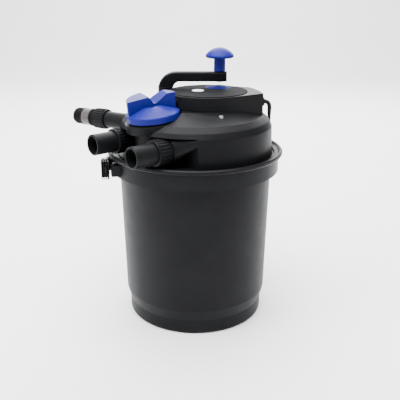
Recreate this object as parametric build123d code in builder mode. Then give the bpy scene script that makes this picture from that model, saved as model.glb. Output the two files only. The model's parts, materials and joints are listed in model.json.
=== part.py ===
from build123d import *
import math
import os

# Pressurised pond filter: bucket, clamped lid with three hose ports and a valve, UV-C clarifier,
# and a hand crank that turns the foam carousel through an internal gear.
# Millimetres, +Z up, origin at the centre of the bucket's flat base, ports towards -X and -Y.

# ---------------------------------------------------------------- driving dimensions
WALL = 3.5                      # moulded wall of the bucket and the lid
GAP = 0.3                       # clearance between pieces that move apart
FIT = 0.05                      # radial clearance of a running fit

BASE_R = 132.0                  # bucket foot
STEP_R = 137.8                  # bucket just above the step
BUCKET_TOP_R = 144.0            # bucket under the clamp band
RIM_R = 153.0                   # rims of bucket and lid, gripped by the band
RIM_Z = 311.0                   # top face of the bucket rim
SEAL_T = 3.0                    # lid gasket
LID_Z = RIM_Z + SEAL_T          # underside of the lid rim
DOME_R = 145.0                  # side wall of the lid
SHOULDER_Z = 374.0              # where the lid wall turns over
PLATEAU_R = 83.0                # flat top of the lid under the ballast housing
PLATEAU_Z = 409.0
DOME_SLOPE = 0.35               # fall of the lid's top outside the plateau

BAND_R = 158.0                  # clamp band skirt
BAND_LOW = 290.0
BAND_LIP_R = 165.0
LATCH_AZ = 188.0                # where the band is split

PORT_AZ = 221.0                 # both hose ports point this way
PORT_Z = 351.5
PORT_OFFSET = 59.0              # each side of the lid axis
PORT_MOUTH = 190.0              # mouth, measured from the lid axis along the port
PORT_FACE = 117.0               # end of the moulded pipe, where the union starts
BAY_FACE = 90.0                 # flat wall of the recess behind the unions
BAY_TOP = 376.5                 # roof of that recess
TAIL_R = 19.0                   # 38 mm hose tail

VALVE_X, VALVE_Y = -73.0, -69.5
VALVE_Z = 394.5                 # floor of the knob's pocket
VALVE_TILT = 6.0                # the valve leans outwards with the lid's slope
VALVE_TILT_AZ = 205.0
CHAMBER_R = 33.5
KNOB_R = 47.5

WASTE_X, WASTE_Y, WASTE_Z = -140.4, 5.4, 377.0
WASTE_AZ = 148.2

HOUSING_X = 23.5                # ballast housing, round end
HOUSING_R = 76.0
HOUSING_TOP = 434.0
DISC_R = 73.5

MODULE = 2.5                    # carousel gearing
RING_TEETH = 72
PINION_TEETH = 14
CRANK_AZ = 141.5
CRANK_RADIUS = 103.0
ARM_LOW, ARM_TOP = 446.3, 464.7

LAMP_X = 34.0
SLEEVE_R = 22.0                 # quartz sleeve
FOAM_COUNT = 5
FOAM_IN, FOAM_OUT = 62.5, 118.0
ROD_CIRCLE = 104.0

CABLE_R = 3.25
PARTS = "parts"

# ---------------------------------------------------------------- derived values
PITCH_RING = MODULE * RING_TEETH / 2
PITCH_PINION = MODULE * PINION_TEETH / 2
CRANK_CENTRE = PITCH_RING - PITCH_PINION
CRANK_X = CRANK_CENTRE * math.cos(math.radians(CRANK_AZ))
CRANK_Y = CRANK_CENTRE * math.sin(math.radians(CRANK_AZ))
GRIP_X = CRANK_X + CRANK_RADIUS


def unit(azimuth):
    """Horizontal unit vector at an azimuth in degrees from +X."""
    return math.cos(math.radians(azimuth)), math.sin(math.radians(azimuth))


DX, DY = unit(PORT_AZ)
WX, WY = unit(WASTE_AZ)


def port_point(along, lateral):
    """Plan position, given along and across the ports' direction."""
    return DX * along + DY * lateral, DY * along - DX * lateral


def port_plane(along, lateral, z=PORT_Z):
    """Plane across a port, its normal pointing out of the mouth."""
    x, y = port_point(along, lateral)
    return Plane(origin=(x, y, z), x_dir=(0, 0, 1), z_dir=(DX, DY, 0))


def waste_plane(along):
    """Plane across the waste port, its normal pointing out of the mouth."""
    x = WASTE_X + WX * along
    y = WASTE_Y + WY * along
    return Plane(origin=(x, y, WASTE_Z), x_dir=(0, 0, 1), z_dir=(WX, WY, 0))


TX, TY = unit(VALVE_TILT_AZ)
VALVE_DIR = Vector(
    TX * math.sin(math.radians(VALVE_TILT)),
    TY * math.sin(math.radians(VALVE_TILT)),
    math.cos(math.radians(VALVE_TILT)),
)

VALVE_AXIS = Axis((VALVE_X, VALVE_Y, VALVE_Z), VALVE_DIR)


def valve_plane(height):
    """Plane across the valve axis, at a height above the pocket floor."""
    origin = Vector(VALVE_X, VALVE_Y, VALVE_Z) + VALVE_DIR * height
    return Plane(origin=origin, x_dir=(1, 0, -VALVE_DIR.X / VALVE_DIR.Z), z_dir=VALVE_DIR)


def latch_plane(z):
    """Horizontal plane at the latch: X runs outwards, Y along the band towards the ports."""
    rx, ry = unit(LATCH_AZ)
    return Plane(origin=(BAND_R * rx, BAND_R * ry, z), x_dir=(rx, ry, 0), z_dir=(0, 0, 1))


def vertical_plane(x, y, z):
    return Plane(origin=(x, y, z), z_dir=(0, 0, 1))


def cylinder(plane, radius, length, mode=Mode.ADD):
    """Round bar or bore from a plane along its normal, inside a part block."""
    with BuildSketch(plane) as section:
        Circle(radius)
    extrude(section.sketch, amount=length, mode=mode)


def tube(plane, outer, inner, length, mode=Mode.ADD):
    """Round tube from a plane along its normal, inside a part block."""
    with BuildSketch(plane) as section:
        Circle(outer)
        Circle(inner, mode=Mode.SUBTRACT)
    extrude(section.sketch, amount=length, mode=mode)


def lathe(points):
    """Turn a closed outline of (radius, height) points about the lid's axis."""
    with BuildSketch(Plane.XZ) as outline:
        with BuildLine():
            Polyline(*points, close=True)
        make_face()
    revolve(outline.sketch, axis=Axis.Z)


def crown_middle(radius, low, rise):
    """Middle point of an arc centred on the axis, from (radius, low) to (0, low + rise)."""
    sphere = (radius ** 2 + rise ** 2) / (2 * rise)
    half = math.asin(radius / sphere) / 2
    return sphere * math.sin(half), low + rise - sphere * (1 - math.cos(half))


def save(block, name):
    block.part.label = name
    export_step(block.part, f"{PARTS}/{name}.step")


os.makedirs(PARTS, exist_ok=True)

# ================================================================ bucket
with BuildPart() as bucket:
    with BuildSketch(Plane.XZ):
        with BuildLine():
            Polyline(
                (0, 0), (BASE_R, 0), (BASE_R - 0.4, 28), (STEP_R, 50),
                (BUCKET_TOP_R, RIM_Z - 12), (RIM_R, RIM_Z - 6), (RIM_R, RIM_Z),
                (BUCKET_TOP_R - WALL, RIM_Z), (STEP_R - WALL, 52),
                (BASE_R - 0.4 - WALL, 30), (BASE_R - WALL, 4), (0, 4), close=True,
            )
        make_face()
    revolve(axis=Axis.Z)
    foot_edge = bucket.edges().filter_by(GeomType.CIRCLE).group_by(Axis.Z)[0]
    fillet(foot_edge, radius=6)
    step_edges = [
        edge for edge in bucket.edges().filter_by(GeomType.CIRCLE)
        if edge.radius > BASE_R - 1 and 20 < edge.center().Z < 60
    ]
    fillet(step_edges, radius=6)
save(bucket, "bucket")

# pin on which the carousel turns, moulded flange screwed to the bucket floor
with BuildPart() as pivot_pin:
    cylinder(Plane.XY.offset(4), 24, 5)
    cylinder(Plane.XY.offset(9), 13, 46.7)
    cylinder(Plane.XY.offset(55.7), 8, 11.3)
    fillet(pivot_pin.edges().group_by(Axis.Z)[-1], radius=1.5)
save(pivot_pin, "carousel_pivot_pin")

# ================================================================ foam carousel
PLATE_R = 122.0
PLATE_Z = 56.0
FOAM_Z = 61.5
FOAM_PITCH = 40.0
GEAR_Z = FOAM_Z + FOAM_COUNT * FOAM_PITCH
GEAR_T = 10.0
ROD_R = 3.0

with BuildPart() as base_plate:
    cylinder(Plane.XY.offset(PLATE_Z), PLATE_R, 5)
    cylinder(Plane.XY.offset(PLATE_Z), 15, 10)
    cylinder(Plane.XY.offset(PLATE_Z), 8 + FIT, 10, Mode.SUBTRACT)
    with BuildSketch(Plane.XY.offset(PLATE_Z)):
        with PolarLocations(38, 6):
            Circle(11)
        with PolarLocations(88, 18, start_angle=10):
            SlotOverall(34, 10)
    extrude(amount=5, mode=Mode.SUBTRACT)
    with BuildSketch(Plane.XY.offset(PLATE_Z)):
        with PolarLocations(ROD_CIRCLE, 4, start_angle=45):
            Circle(ROD_R)
    extrude(amount=5, mode=Mode.SUBTRACT)
save(base_plate, "carousel_base_plate")

# perforated core that keeps the foam off the UV sleeve
CORE_OUT, CORE_IN = 62.0, 59.5
CORE_H = FOAM_COUNT * FOAM_PITCH
with BuildPart() as core:
    tube(Plane.XY.offset(FOAM_Z - 0.5), CORE_OUT, CORE_IN, CORE_H + 0.5)
    for row in range(FOAM_COUNT):
        for column in range(6):
            slot_z = FOAM_Z + (row + 0.5) * FOAM_PITCH
            cx, cy = unit(column * 30 + 15)
            across = Plane(origin=(0, 0, slot_z), x_dir=(0, 0, 1), z_dir=(cx, cy, 0))
            with BuildSketch(across):
                SlotOverall(30, 12)
            extrude(amount=CORE_OUT + 1, both=True, mode=Mode.SUBTRACT)
save(core, "carousel_core")

for index in range(FOAM_COUNT):
    with BuildPart() as foam:
        foam_plane = Plane.XY.offset(FOAM_Z + index * FOAM_PITCH)
        tube(foam_plane, FOAM_OUT, FOAM_IN, FOAM_PITCH - 1)
        with BuildSketch(foam_plane):
            with PolarLocations(ROD_CIRCLE, 4, start_angle=45):
                Circle(ROD_R + 0.2)
        extrude(amount=FOAM_PITCH - 1, mode=Mode.SUBTRACT)
    save(foam, f"foam_ring_{index + 1}")

# internal gear on the carousel's top plate; straight-flanked teeth with generous backlash
TOOTH_HALF_TIP, TOOTH_HALF_ROOT = 0.85, 2.2
with BuildPart() as ring_gear:
    with BuildSketch(Plane.XY.offset(GEAR_Z)):
        Circle(PLATE_R)
        Circle(PITCH_RING + 3.0, mode=Mode.SUBTRACT)
        tooth_start = CRANK_AZ + 180 / RING_TEETH
        with PolarLocations(0, RING_TEETH, start_angle=tooth_start):
            with Locations((PITCH_RING, 0)):
                Polygon(
                    (-2.2, -TOOTH_HALF_TIP), (-2.2, TOOTH_HALF_TIP),
                    (3.6, TOOTH_HALF_ROOT), (3.6, -TOOTH_HALF_ROOT), align=None,
                )
    extrude(amount=GEAR_T)
    with BuildSketch(Plane.XY.offset(GEAR_Z)):
        with PolarLocations(ROD_CIRCLE, 4, start_angle=45):
            Circle(ROD_R)
        with PolarLocations(107, 16, start_angle=11.25 + 22.5 / 4):
            Circle(5.5)
    extrude(amount=GEAR_T, mode=Mode.SUBTRACT)
save(ring_gear, "carousel_ring_gear")

with BuildPart() as tie_rods:
    with BuildSketch(Plane.XY.offset(PLATE_Z)):
        with PolarLocations(ROD_CIRCLE, 4, start_angle=45):
            Circle(ROD_R)
    extrude(amount=GEAR_Z + GEAR_T + 7 - PLATE_Z)
save(tie_rods, "carousel_tie_rods")

with BuildPart() as rod_nuts:
    with BuildSketch(Plane.XY.offset(GEAR_Z + GEAR_T)):
        with PolarLocations(ROD_CIRCLE, 4, start_angle=45):
            RegularPolygon(5.8, 6)
            Circle(ROD_R, mode=Mode.SUBTRACT)
    extrude(amount=5)
save(rod_nuts, "carousel_rod_nuts")

# ================================================================ lid
SLEEVE_BOSS_R = 28.0
SLEEVE_BOSS_Z = 384.0
PORT_PIPE_R = 22.0
PORT_STUB_R = 17.8
PORT_BORE_R = 13.5
STUB_END = 125.0
WASTE_PIPE_R = 15.5
WASTE_FACE = 30.0
CRANK_BOSS_TOP = 427.0

dome_outline = [
    (0, LID_Z), (RIM_R, LID_Z), (RIM_R, LID_Z + 5.5), (DOME_R + 1, LID_Z + 5.5),
    (DOME_R, LID_Z + 9), (DOME_R - 1.5, SHOULDER_Z), (138, 384.5), (127, 393.6),
    (PLATEAU_R, PLATEAU_Z), (0, PLATEAU_Z),
]
void_outline = [
    (0, LID_Z), (DOME_R - 1.5 - WALL, LID_Z), (DOME_R - 1.5 - WALL, SHOULDER_Z - 1),
    (135, 382), (125, 389.8), (PLATEAU_R - 1, PLATEAU_Z - 4), (0, PLATEAU_Z - 4),
]

with BuildPart() as dome_solid:
    lathe(dome_outline)
    shoulder = [
        edge for edge in dome_solid.edges().filter_by(GeomType.CIRCLE)
        if abs(edge.center().Z - SHOULDER_Z) < 1 or abs(edge.center().Z - 384.5) < 1
    ]
    fillet(shoulder, radius=6)

with BuildPart() as dome_void:
    lathe(void_outline)
    bay_inside = Plane(
        origin=(DX * (BAY_FACE - WALL), DY * (BAY_FACE - WALL), 0),
        x_dir=(-DY, DX, 0), z_dir=(DX, DY, 0),
    )
    split(bisect_by=bay_inside, keep=Keep.BOTTOM)

with BuildPart() as lid_shell:
    add(dome_solid.part)
    add(dome_void.part, mode=Mode.SUBTRACT)
    # recess for the unions: flat wall at BAY_FACE, floor just above the rim, shoulder as its roof
    bay_depth = 90.0
    bay_x, bay_y = port_point(BAY_FACE + bay_depth / 2, 0)
    with BuildSketch(Plane(origin=(bay_x, bay_y, LID_Z + 8.5), x_dir=(DX, DY, 0), z_dir=(0, 0, 1))):
        Rectangle(bay_depth, 300)
    extrude(amount=BAY_TOP - LID_Z - 8.5, mode=Mode.SUBTRACT)
    # valve body and the pan under the knob
    cylinder(valve_plane(-67), CHAMBER_R + WALL, 60)
    cylinder(valve_plane(-15), 51, 15)
    # moulded pipes of the two ports, joined across through the valve body
    for side in (-1, 1):
        cylinder(port_plane(80, side * PORT_OFFSET), PORT_PIPE_R, PORT_FACE - 80)
        cylinder(port_plane(PORT_FACE, side * PORT_OFFSET), PORT_STUB_R, STUB_END - PORT_FACE)
        # hood that carries the pipe's outer side back to the lid's wall
        hood_back = Plane(
            origin=(*port_point(90.0, side * 104), 368), x_dir=(0, 0, 1), z_dir=(DX, DY, 0),
        )
        with BuildSketch(hood_back):
            RectangleRounded(14, 15, 5)
        with BuildSketch(port_plane(PORT_FACE, side * PORT_OFFSET)):
            Circle(PORT_PIPE_R + 1)
        loft()
    cross_x, cross_y = port_point(100, -PORT_OFFSET)
    cross_plane = Plane(origin=(cross_x, cross_y, PORT_Z), x_dir=(0, 0, 1), z_dir=(DY, -DX, 0))
    cylinder(cross_plane, 16, 2 * PORT_OFFSET)
    # waste pipe, rising from the back of the valve body
    cylinder(waste_plane(-78), WASTE_PIPE_R, 78 + WASTE_FACE)
    cylinder(waste_plane(WASTE_FACE), 12.8, 7)
    # bosses for the quartz sleeve and the crank's bush
    cylinder(vertical_plane(LAMP_X, 0, SLEEVE_BOSS_Z), SLEEVE_BOSS_R, PLATEAU_Z - SLEEVE_BOSS_Z)
    cylinder(vertical_plane(CRANK_X, CRANK_Y, 392), 15, CRANK_BOSS_TOP - 392)
    # pocket for the knob, cut into the sloping top
    cylinder(valve_plane(0), 51, 40, Mode.SUBTRACT)
    # water ways
    cylinder(valve_plane(-61), CHAMBER_R, 61, Mode.SUBTRACT)
    for side in (-1, 1):
        cylinder(port_plane(86, side * PORT_OFFSET), PORT_BORE_R, STUB_END - 86, Mode.SUBTRACT)
    cylinder(cross_plane, 11, 2 * PORT_OFFSET, Mode.SUBTRACT)
    cylinder(waste_plane(-84), 10.5, 84 + WASTE_FACE + 7, Mode.SUBTRACT)
    cylinder(vertical_plane(LAMP_X, 0, SLEEVE_BOSS_Z), SLEEVE_R + 0.4, 30, Mode.SUBTRACT)
    cylinder(vertical_plane(CRANK_X, CRANK_Y, 380), 10, 60, Mode.SUBTRACT)
    # opening from the valve chamber down into the bucket
    well = port_point(78, -4)
    cylinder(vertical_plane(well[0], well[1], 325), 12, 20, Mode.SUBTRACT)
save(lid_shell, "lid_shell")
print("lid solids", len(lid_shell.part.solids()), "volume", round(lid_shell.part.volume / 1000), "cm3")

# flat gasket between the two rims
with BuildPart() as lid_seal:
    tube(Plane.XY.offset(RIM_Z), RIM_R - 1.5, BUCKET_TOP_R + 1, SEAL_T)
save(lid_seal, "lid_seal")

# ================================================================ clamp band and its latch
LUG_LOW, LUG_TOP = 293.0, 314.0             # height of the latch ears
EAR_T = 4.7
LEVER_AXIS = (8.0, 14.0)                    # along the band, outwards
LINK_AXIS = (20.0, 9.0)
PIN_R = 2.0
CATCH_Y = -20.0


def latch_xy(along, out):
    """Sketch point on a latch plane, whose X runs outwards and Y along the band."""
    return out, along


with BuildPart() as clamp_band:
    lathe([
        (RIM_R + 0.6, BAND_LOW), (BAND_R, BAND_LOW), (BAND_R, 318), (BAND_LIP_R - 1, 320.5),
        (BAND_LIP_R, 322), (BAND_LIP_R, 326), (BAND_LIP_R - 2, 328), (BAND_LIP_R - 5, 328),
        (BAND_LIP_R - 6.5, 326.5), (BAND_LIP_R - 8, 324.5), (150, 323.5), (150, LID_Z + 5.8),
        (RIM_R + 0.6, LID_Z + 5.8),
    ])
    # split under the latch
    with BuildSketch(latch_plane(280)):
        Rectangle(60, 8)
    extrude(amount=60, mode=Mode.SUBTRACT)
    # a pair of ears for the lever's pin
    for ear_z in (LUG_LOW, LUG_TOP - EAR_T):
        with BuildSketch(latch_plane(ear_z)):
            with Locations(latch_xy(*LEVER_AXIS)):
                Circle(6)
            Polygon((-3, 4.2), (-3, 20), (14, 13), (16, 4.2), align=None)
            with Locations(latch_xy(*LEVER_AXIS)):
                Circle(PIN_R, mode=Mode.SUBTRACT)
        extrude(amount=EAR_T)
    # tooth on the other end, behind which the link hooks
    with BuildSketch(latch_plane(LUG_LOW)):
        Polygon((-3, -4.2), (6, -6), (11, -14), (11, -16.3), (-3, -16.3), align=None)
    extrude(amount=LUG_TOP - LUG_LOW)
    # slotted lug further along the band
    with BuildSketch(latch_plane(294)):
        Polygon((-12, 48), (3.5, 50), (1.5, 64), (-14, 64), align=None)
        with Locations((-1.8, 57)):
            Rectangle(2.2, 8, rotation=-8, mode=Mode.SUBTRACT)
    extrude(amount=20)
    cylinder(Plane.XY.offset(BAND_LOW - 5), RIM_R + 0.6, LID_Z + 10.8 - BAND_LOW, Mode.SUBTRACT)
save(clamp_band, "clamp_band")

with BuildPart() as latch_lever:
    with BuildSketch(latch_plane(LUG_LOW + EAR_T + GAP)):
        with BuildLine():
            Polyline(
                (9, 3), (19, 5), (19.5, 10), (15.5, 22), (13.5, 34), (10.5, 46), (13.5, 51),
                (11, 53), (6.5, 48), (9.5, 34), (5, 26), (4, 20), (5.5, 15), (9, 12), close=True,
            )
        make_face()
        for pin in (LEVER_AXIS, LINK_AXIS):
            with Locations(latch_xy(*pin)):
                Circle(PIN_R + FIT, mode=Mode.SUBTRACT)
    extrude(amount=LUG_TOP - LUG_LOW - 2 * EAR_T - 2 * GAP)
    # tall finned grip beyond the link
    with BuildSketch(latch_plane(LUG_LOW - 8)):
        Polygon((9, 28), (13, 28), (21, 33), (20.5, 49), (6, 49), align=None)
        with Locations((10.2, 42), (14.2, 42), (18, 43)):
            Rectangle(1.9, 16, mode=Mode.SUBTRACT)
    extrude(amount=LUG_TOP - LUG_LOW + 13)
save(latch_lever, "latch_lever")

with BuildPart() as latch_link:
    for bar_z in (LUG_LOW - 5.2, LUG_TOP + 0.4):
        with BuildSketch(latch_plane(bar_z)):
            with BuildLine():
                Polyline(latch_xy(*LINK_AXIS), latch_xy(CATCH_Y, 8))
            trace(line_width=6)
            for bar_end in (LINK_AXIS, (CATCH_Y, 8)):
                with Locations(latch_xy(*bar_end)):
                    Circle(3.6)
            with Locations(latch_xy(*LINK_AXIS)):
                Circle(PIN_R + FIT, mode=Mode.SUBTRACT)
        extrude(amount=4.8)
    rx, ry = unit(LATCH_AZ)
    bar_x = (BAND_R + 8) * rx - CATCH_Y * ry
    bar_y = (BAND_R + 8) * ry + CATCH_Y * rx
    cylinder(vertical_plane(bar_x, bar_y, LUG_LOW - 4), 2.6, LUG_TOP - LUG_LOW + 8)
save(latch_link, "latch_link")


def latch_pin(axis, low, top, headed, name):
    rx, ry = unit(LATCH_AZ)
    x = (BAND_R + axis[1]) * rx - axis[0] * ry
    y = (BAND_R + axis[1]) * ry + axis[0] * rx
    with BuildPart() as pin:
        cylinder(vertical_plane(x, y, low), PIN_R, top - low)
        if headed:
            cylinder(vertical_plane(x, y, low - 1.2), PIN_R + 1.2, 1.2)
            cylinder(vertical_plane(x, y, top), PIN_R + 1.2, 1.2)
    save(pin, name)


latch_pin(LEVER_AXIS, LUG_LOW, LUG_TOP, False, "latch_lever_pin")
latch_pin(LINK_AXIS, LUG_LOW - 5.3, LUG_TOP + 5.3, True, "latch_link_pin")

# ================================================================ unions and hose tails
NUT_START, NUT_END = 118.5, 146.5
FLANGE_START, FLANGE_END = 127.0, 132.0
RIBS = 24
RIB_R = 1.5


def ribbed_nut(plane_at, start, end, inner, lip, flange, name):
    """Union nut: thread end, flange seat and lip along the port, ribbed outside."""
    outer = inner + 4
    with BuildPart() as nut:
        cylinder(plane_at(start), outer, end - start)
        with BuildSketch(plane_at(start + 3)):
            with PolarLocations(outer - 0.2, RIBS):
                Circle(RIB_R)
        extrude(amount=end - start - 7)
        tube(plane_at(end - 3), outer + 0.9, lip, 3)
        chamfer(nut.edges().group_by(SortBy.LENGTH)[-1], length=0.8)
        cylinder(plane_at(start), inner, flange[0] - 2.1 - start, Mode.SUBTRACT)
        cylinder(plane_at(flange[0] - 2.1), flange[2] + 0.4, flange[1] - flange[0] + 2.5, Mode.SUBTRACT)
        cylinder(plane_at(start), lip, end - start, Mode.SUBTRACT)
    save(nut, name)


for number, side in ((1, -1), (2, 1)):
    def at_port(along, side=side):
        return port_plane(along, side * PORT_OFFSET)

    ribbed_nut(
        at_port, NUT_START, NUT_END, PORT_STUB_R + GAP, TAIL_R + GAP,
        (FLANGE_START, FLANGE_END, 20.3), f"port_nut_{number}",
    )
    with BuildPart() as hose_tail:
        cylinder(at_port(FLANGE_START), 20.3, FLANGE_END - FLANGE_START)
        cylinder(at_port(FLANGE_END), TAIL_R - 0.4, NUT_END + 1 - FLANGE_END)
        cylinder(at_port(NUT_END + 1), TAIL_R, PORT_MOUTH - NUT_END - 1)
        mouth = hose_tail.faces().sort_by(Axis(at_port(0).origin, (DX, DY, 0)))[-1]
        chamfer(mouth.edges(), length=1.2)
        cylinder(at_port(FLANGE_START), 15.8, PORT_MOUTH - FLANGE_START, Mode.SUBTRACT)
    save(hose_tail, f"hose_tail_{number}")

WASTE_NUT_START, WASTE_NUT_END = 31.0, 58.0
WASTE_FLANGE = (40.0, 44.0, 16.6)
WASTE_MOUTH = 108.0
ribbed_nut(
    waste_plane, WASTE_NUT_START, WASTE_NUT_END, 14.2, 15.4, WASTE_FLANGE, "waste_nut",
)

with BuildPart() as waste_tail:
    cylinder(waste_plane(40), 16.6, 4)
    cylinder(waste_plane(44), 15.0, 20)
    cylinder(waste_plane(64), 17.0, 4)
    cylinder(waste_plane(68), 13.0, 18)
    cylinder(waste_plane(86), 16.6, 4)
    cylinder(waste_plane(90), 14.2, WASTE_MOUTH - 90)
    for ring in range(3):
        tube(waste_plane(93 + 4.5 * ring), 15.7, 13, 2.2)
    cylinder(waste_plane(40), 11.5, WASTE_MOUTH - 40, Mode.SUBTRACT)
save(waste_tail, "waste_tail")

# clear sleeve of the sight section
with BuildPart() as sight_glass:
    tube(waste_plane(68), 16.2, 13.0, 18)
save(sight_glass, "sight_glass")

with BuildPart() as port_seals:
    for side in (-1, 1):
        tube(port_plane(STUB_END, side * PORT_OFFSET), 17.5, 14.5, FLANGE_START - STUB_END)
    tube(waste_plane(37), 12.8, 11.2, 3)
save(port_seals, "port_seals")

# ================================================================ selector valve
with BuildPart() as valve_rotor:
    cylinder(valve_plane(-60), CHAMBER_R - 0.5, 50)
    cylinder(valve_plane(-10), 9, 24)
    fillet(valve_rotor.edges().group_by(SortBy.LENGTH)[-1], radius=1.5)
    # through passage with a side branch, and the groove of the spindle seal
    passage = Plane(
        origin=valve_plane(-38).origin, x_dir=VALVE_DIR,
        z_dir=Vector(DY, -DX, 0),
    )
    with BuildSketch(passage):
        Circle(11)
    extrude(amount=40, both=True, mode=Mode.SUBTRACT)
    cylinder(valve_plane(-60), 11, 22, Mode.SUBTRACT)
    tube(valve_plane(-5.5), 9, 7, 2.4, Mode.SUBTRACT)
    cylinder(valve_plane(2), 1.9, 12, Mode.SUBTRACT)
save(valve_rotor, "valve_rotor")

with BuildPart() as valve_seal:
    tube(valve_plane(-5.5), 9, 7, 2.4)
save(valve_seal, "valve_spindle_seal")

# knob: a conical disc whose rear half carries two tall wings, parted by a deep V notch
KNOB_LOW = 3.0
KNOB_DISC_T = 11.5
KNOB_TURN = 24.5                # angle of the wings' front faces
WING_R = 44.5
with BuildPart() as valve_knob:
    cylinder(valve_plane(KNOB_LOW), KNOB_R, KNOB_DISC_T)
    fillet(valve_knob.edges().group_by(VALVE_AXIS)[-1], radius=3)
    with BuildSketch(valve_plane(KNOB_LOW + KNOB_DISC_T)):
        Circle(KNOB_R - 3)
    extrude(amount=9.5, taper=72)
    with BuildSketch(valve_plane(KNOB_LOW + 5).rotated((0, 0, KNOB_TURN))):
        Circle(WING_R)
        Polygon((-50, -1), (4, 4), (50, -1), (50, -60), (-50, -60), align=None, mode=Mode.SUBTRACT)
    extrude(amount=45)
    # top that rises to the back right
    knob_top = Plane(
        origin=(VALVE_X, VALVE_Y, 436), x_dir=(1, 0, 0.11), z_dir=(-0.11, -0.12, 1),
    )
    with BuildSketch(knob_top):
        Rectangle(140, 140)
    extrude(amount=40, mode=Mode.SUBTRACT)
    # V notch between the wings
    notch_x, notch_y = unit(KNOB_TURN)
    with BuildSketch(Plane(origin=(VALVE_X, VALVE_Y, 0), x_dir=(notch_x, notch_y, 0), z_dir=(notch_y, -notch_x, 0))):
        Polygon((2, 423.5), (6, 423.5), (38, 450), (-19, 450), align=None)
    extrude(amount=60, both=True, mode=Mode.SUBTRACT)
    # hub bored for the spindle, hollow underside
    tube(valve_plane(KNOB_LOW), KNOB_R - 3, 13, 5, Mode.SUBTRACT)
    cylinder(valve_plane(KNOB_LOW), 9, 11, Mode.SUBTRACT)
    cylinder(valve_plane(KNOB_LOW), 2.2, 30, Mode.SUBTRACT)
    cylinder(valve_plane(KNOB_LOW + 17), 4.2, 30, Mode.SUBTRACT)
save(valve_knob, "valve_knob")

with BuildPart() as knob_screw:
    cylinder(valve_plane(4), 1.9, KNOB_LOW + 13)
    cylinder(valve_plane(KNOB_LOW + 17), 3.8, 2.4)
    with BuildSketch(valve_plane(KNOB_LOW + 18.4)):
        Rectangle(5.2, 1.0)
        Rectangle(1.0, 5.2)
    extrude(amount=1, mode=Mode.SUBTRACT)
save(knob_screw, "valve_knob_screw")

# screwed cover that closes the valve chamber under the knob and guides the spindle
with BuildPart() as valve_cover:
    cylinder(valve_plane(-8), CHAMBER_R - 0.1, 8)
    cylinder(valve_plane(0), 42, 3)
    with BuildSketch(valve_plane(3)):
        with PolarLocations(37.5, 4):
            Circle(3)
    extrude(amount=1.8)
    cylinder(valve_plane(-8), 9 + FIT, 13, Mode.SUBTRACT)
save(valve_cover, "valve_cover")

# ================================================================ cleaning crank
SHAFT_R = 6.0
SHAFT_LOW = GEAR_Z
HUB_LOW = CRANK_BOSS_TOP + 1.5
with BuildPart() as crank_bush:
    tube(vertical_plane(CRANK_X, CRANK_Y, 393), 9.9, SHAFT_R + FIT, CRANK_BOSS_TOP - 393)
    tube(vertical_plane(CRANK_X, CRANK_Y, 389), 13, SHAFT_R + FIT, 2.9)
    tube(vertical_plane(CRANK_X, CRANK_Y, 391), 9.9, SHAFT_R + FIT, 3)
save(crank_bush, "crank_bush")

with BuildPart() as crank_shaft:
    cylinder(vertical_plane(CRANK_X, CRANK_Y, SHAFT_LOW), SHAFT_R, 455 - SHAFT_LOW)
    with BuildSketch(Plane.XY.offset(448)):
        with Locations((CRANK_X + SHAFT_R, CRANK_Y)):
            Rectangle(3, 14)
    extrude(amount=8, mode=Mode.SUBTRACT)
    tube(vertical_plane(CRANK_X, CRANK_Y, 386.5), SHAFT_R, SHAFT_R - 1, 1.4, Mode.SUBTRACT)
    chamfer(crank_shaft.edges().group_by(Axis.Z)[0], length=1)
save(crank_shaft, "crank_shaft")

with BuildPart() as shaft_circlip:
    with BuildSketch(Plane.XY.offset(386.6)):
        with Locations((CRANK_X, CRANK_Y)):
            Circle(9)
            Circle(SHAFT_R - 0.8, mode=Mode.SUBTRACT)
        with Locations((CRANK_X, CRANK_Y - 8)):
            Rectangle(6, 8, mode=Mode.SUBTRACT)
    extrude(amount=1.2)
save(shaft_circlip, "shaft_circlip")

with BuildPart() as crank_pinion:
    with BuildSketch(Plane.XY.offset(GEAR_Z + 0.5)):
        with Locations((CRANK_X, CRANK_Y)):
            Circle(PITCH_PINION - 3.0)
            with PolarLocations(0, PINION_TEETH, start_angle=CRANK_AZ):
                with Locations((PITCH_PINION, 0)):
                    Polygon(
                        (-3.6, -2.0), (-3.6, 2.0), (2.0, TOOTH_HALF_TIP), (2.0, -TOOTH_HALF_TIP),
                        align=None,
                    )
    extrude(amount=GEAR_T + 2)
    cylinder(vertical_plane(CRANK_X, CRANK_Y, GEAR_Z + GEAR_T + 2), 11, 14)
    cylinder(vertical_plane(CRANK_X, CRANK_Y, GEAR_Z), SHAFT_R, 40, Mode.SUBTRACT)
save(crank_pinion, "crank_pinion")

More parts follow.
